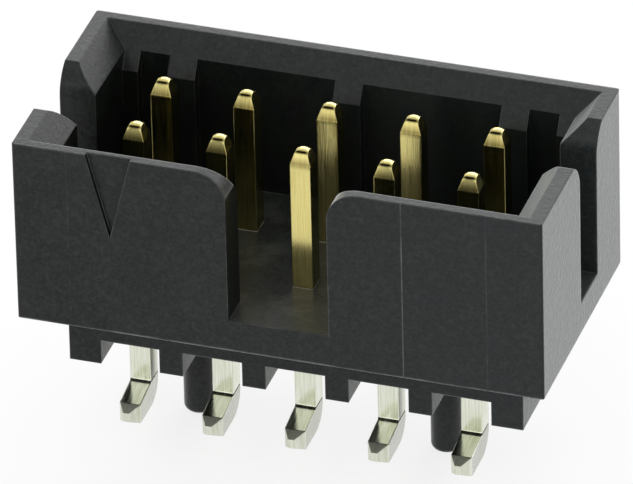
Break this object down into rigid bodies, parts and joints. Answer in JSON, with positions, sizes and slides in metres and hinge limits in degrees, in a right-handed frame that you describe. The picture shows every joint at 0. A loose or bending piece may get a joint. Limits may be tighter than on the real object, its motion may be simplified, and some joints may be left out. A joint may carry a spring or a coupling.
{
  "type": "shrouded box header connector",
  "caption": "Shrouded surface-mount box header for a ribbon-cable socket, with a keyed black housing, gold-tipped square contacts, gull-wing feet and board pegs.",
  "frame": {"origin": "on the board's top face, at the centre of the contact field and midway between the two locating pegs", "axes": "+X along the rows, away from pin 1; +Y from the key notch side to the back; +Z out of the board and out of the shroud's mouth"},
  "size_m": [0.0126, 0.006, 0.0084],
  "materials": {
    "housing": "matt charcoal-black glass-filled moulding",
    "contact": "gold plate above the floor, satin tin plate on the legs and feet"
  },
  "bodies": {
    "root": {"housing": "housing", "pin_1": "contact", "pin_2": "contact", "pin_3": "contact", "pin_4": "contact", "pin_5": "contact", "pin_6": "contact", "pin_7": "contact", "pin_8": "contact", "pin_9": "contact", "pin_10": "contact"}
  },
  "joints": []
}
